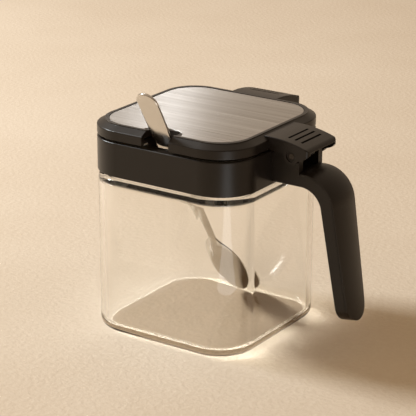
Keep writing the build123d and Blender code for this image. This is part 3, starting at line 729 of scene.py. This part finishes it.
def spring_tree():
    """A wire with a straight foot, a coil about the Y axis through the pivot, and a straight leg."""
    tree, given, end = tree_with_sizes("torsion_spring", {
        "Pivot": "Vector", "Coil radius": "Float", "Turns": "Float", "Pitch": "Float", "Wire radius": "Float",
        "Foot way": "Vector", "Foot length": "Float", "Leg way": "Vector", "Leg length": "Float",
        "Material": "Material"})
    coil_count = int(coil_points * coil_turns)
    chain = add_step(tree, "GeometryNodeMeshLine", Count=coil_count + 2 * leg_points + 1)[0]
    number = add_step(tree, "GeometryNodeInputIndex")[0]
    along = sum_of(tree, "DIVIDE", sum_of(tree, "SUBTRACT", number, leg_points), coil_count)
    along = sum_of(tree, "MAXIMUM", sum_of(tree, "MINIMUM", along, 1.0), 0.0)
    angle = sum_of(tree, "MULTIPLY", sum_of(tree, "MULTIPLY", along, given["Turns"]), -2 * math.pi)
    angle = sum_of(tree, "ADD", angle, math.pi)
    x = sum_of(tree, "MULTIPLY", sum_of(tree, "COSINE", angle), given["Coil radius"])
    z = sum_of(tree, "MULTIPLY", sum_of(tree, "SINE", angle), given["Coil radius"])
    span = sum_of(tree, "MULTIPLY", given["Turns"], given["Pitch"])
    y = sum_of(tree, "MULTIPLY", sum_of(tree, "SUBTRACT", along, 0.5), span)
    place = add_step(tree, "ShaderNodeCombineXYZ", X=x, Y=y, Z=z)[0]
    place = add_step(tree, "ShaderNodeVectorMath", {"operation": "ADD"}, i0=place, i1=given["Pivot"])[0]
    before = sum_of(tree, "MAXIMUM", sum_of(tree, "SUBTRACT", leg_points, number), 0.0)
    before = sum_of(tree, "MULTIPLY", sum_of(tree, "DIVIDE", before, leg_points), given["Foot length"])
    after = sum_of(tree, "MAXIMUM", sum_of(tree, "SUBTRACT", number, leg_points + coil_count), 0.0)
    after = sum_of(tree, "MULTIPLY", sum_of(tree, "DIVIDE", after, leg_points), given["Leg length"])
    for way, length in ((given["Foot way"], before), (given["Leg way"], after)):
        step = add_step(tree, "ShaderNodeVectorMath", {"operation": "SCALE"}, i0=way, Scale=length)[0]
        place = add_step(tree, "ShaderNodeVectorMath", {"operation": "ADD"}, i0=place, i1=step)[0]
    bent = add_step(tree, "GeometryNodeSetPosition", Geometry=chain, Position=place)[0]
    line = add_step(tree, "GeometryNodeMeshToCurve", Mesh=bent)[0]
    wire = add_step(tree, "GeometryNodeCurvePrimitiveCircle", Resolution=wire_points,
                    Radius=given["Wire radius"])["Curve"]
    tube = add_step(tree, "GeometryNodeCurveToMesh", Curve=line, Profile_Curve=wire, Fill_Caps=True)[0]
    finish_tree(tree, tube, given["Material"], end)
    return tree


coil_climb = coil_pitch / (2 * math.pi * coil_radius)
end_angle = math.pi - 2 * math.pi * coil_turns
foot_way = -Vector((0, coil_climb, 1)).normalized()
leg_way = Vector((math.sin(end_angle), coil_climb, -math.cos(end_angle))).normalized()
foot_length = (foot_z - pivot.z) / foot_way.z
spring_mesh = mesh_from_tree("hinge_spring_wire", bpy.data.meshes.new("spring_start"), spring_tree(), {
    "Pivot": pivot, "Coil radius": coil_radius, "Turns": coil_turns, "Pitch": coil_pitch,
    "Wire radius": wire_radius, "Foot way": foot_way, "Foot length": foot_length, "Leg way": leg_way,
    "Leg length": lever_leg, "Material": bright_steel})
spring = place_piece("hinge_spring_wire", spring_mesh, bright_steel)
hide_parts("hinge_spring")
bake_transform(spring)


# Spoon. One piece of polished stainless steel, with a flat blade that stands out through the
# notch, a stem that narrows to the neck, and an oval bowl with its round back to the front.
spoon_side = 0.0012
bend_y, bend_z = -0.03612, 0.0960
neck_y, neck_z = 0.00330, 0.03685
blade_lean, stem_lean, bowl_lean = math.radians(30.3), math.radians(33.68), math.radians(43.0)
blade_length = 0.0256
stem_length = 0.07109
bowl_length = 0.0445
blade_half, bend_half, middle_half, neck_half_width = 0.0053, 0.0050, 0.0027, 0.0019
bowl_half = 0.0110
bowl_depth = 0.0060
spoon_half_thick = 0.0008
bowl_half_thick = 0.00048
blade_taper_share, stem_taper_share = 0.4, 0.6
bowl_neck_overlap = 0.0015
bend_ease = 0.004
tip_least_half = 0.00015
thin_edge_half = 0.002
blade_steps, stem_steps, bowl_steps, tip_steps = 14, 34, 48, 10
points_across = 20
edge_bluntness, edge_crowding = 0.35, 0.8
hollow_across, hollow_along = 2.2, 1.6
bowl_thin_from, bowl_thin_to = 0.1, 0.8
neck_power = 4
polish_light = (0.72, 0.69, 0.65)
polish_dark = (0.64, 0.61, 0.57)
polish_cloud = 0.011
polish_roughness = (0.12, 0.2)


def smooth_step(value, start, end):
    """A smooth rise from 0 at start to 1 at end."""
    share = min(max((value - start) / (end - start), 0.0), 1.0)
    return share * share * (3 - 2 * share)


def spoon_station(along):
    """Half width, half thickness and hollow of the spoon, this far below its bend."""
    if along < 0:
        from_top = along + blade_length
        half = bend_half + (blade_half - bend_half) * smooth_step(-along, 0, blade_taper_share * blade_length)
        if from_top < blade_half:
            half = math.sqrt(max(blade_half ** 2 - (blade_half - from_top) ** 2, 0))
        return half, spoon_half_thick, 0.0
    upper_stem = stem_taper_share * stem_length
    if along < upper_stem:
        stem_half = bend_half + (middle_half - bend_half) * along / upper_stem
    else:
        share = min((along - upper_stem) / (stem_length - upper_stem), 1.0)
        stem_half = middle_half + (neck_half_width - middle_half) * share
    oval_half = 0.5 * (bowl_length + bowl_neck_overlap)
    middle = stem_length - bowl_neck_overlap + oval_half
    across = (along - middle) / oval_half
    oval = math.sqrt(max(1 - across * across, 0.0))
    bowl_width = bowl_half * oval
    half = bowl_width
    if along <= middle:
        half = (bowl_width ** neck_power + stem_half ** neck_power) ** (1 / neck_power)
    thinned = smooth_step(oval, bowl_thin_from, bowl_thin_to)
    thick = spoon_half_thick + (bowl_half_thick - spoon_half_thick) * thinned
    return half, thick, bowl_depth * oval ** hollow_along


def spoon_line():
    """Points down the spoon's middle line, with how far each is below the bend and its lean."""
    total = stem_length + bowl_length
    tip_turn, bowl_turn = math.pi / (2 * tip_steps), math.pi / (2 * bowl_steps)
    flat_length = blade_length - blade_half
    marks = [-blade_length + blade_half * (1 - math.cos(step * tip_turn)) for step in range(tip_steps + 1)]
    marks += [-flat_length + flat_length * step / blade_steps for step in range(1, blade_steps + 1)]
    marks += [stem_length * step / stem_steps for step in range(1, stem_steps + 1)]
    marks += [stem_length + bowl_length * math.sin(step * bowl_turn) for step in range(1, bowl_steps + 1)]
    line = []
    for along in marks:
        if along < stem_length / 2:
            eased = smooth_step(along, -bend_ease, bend_ease)
            lean = blade_lean + (stem_lean - blade_lean) * eased
            side = blade_lean if along < 0 else stem_lean
            start, offset = Vector((bend_y, bend_z)), along
        else:
            eased = smooth_step(along, stem_length - bend_ease, stem_length + bend_ease)
            lean = stem_lean + (bowl_lean - stem_lean) * eased
            side = stem_lean if along < stem_length else bowl_lean
            start, offset = Vector((neck_y, neck_z)), along - stem_length
        point = start + Vector((math.sin(side), -math.cos(side))) * offset
        line.append((min(along, total), point, lean))
    return line


def spoon_mesh():
    """The spoon's skin: a flattened ring round each point of its middle line, closed at both tips."""
    work = bmesh.new()
    rings = []
    for along, point, lean in spoon_line():
        half, thick, hollow = spoon_station(along)
        half = max(half, tip_least_half)
        back = Vector((math.cos(lean), math.sin(lean)))
        ring = []
        for number in range(2 * points_across):
            turn_round = math.pi * (number + 0.5) / points_across
            share = math.cos(turn_round)
            edge = abs(math.sin(turn_round)) ** edge_bluntness * (1 if number < points_across else -1)
            share = math.copysign(abs(share) ** edge_crowding, share)
            thinned_edge = thick * edge * min(1.0, half / thin_edge_half)
            depth = -hollow * (1 - abs(share) ** hollow_across) + thinned_edge
            place = point + back * depth
            ring.append(work.verts.new((spoon_side + half * share, place.x, place.y)))
        rings.append(ring)
    for low, high in zip(rings, rings[1:]):
        for number in range(2 * points_across):
            after = (number + 1) % (2 * points_across)
            work.faces.new((low[number], low[after], high[after], high[number]))
    work.faces.new(rings[0])
    work.faces.new(list(reversed(rings[-1])))
    bmesh.ops.recalc_face_normals(work, faces=work.faces)
    for face in work.faces:
        face.smooth = True
    mesh = bpy.data.meshes.new("polished_spoon")
    work.to_mesh(mesh)
    work.free()
    return mesh


def polished_steel():
    """Polished steel with faint clouds of wear."""
    material, tree, shader = start_finish("polished_steel", polish_roughness[0], metallic=1.0)
    cloud = grain_of(tree, polish_cloud)
    tree.links.new(colour_between(tree, cloud, polish_dark, polish_light), shader.inputs["Base Color"])
    tree.links.new(number_between(tree, cloud, *polish_roughness), shader.inputs["Roughness"])
    return material


spoon = place_piece("polished_spoon", spoon_mesh(), polished_steel())
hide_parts("spoon")
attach(spoon, "spoon")
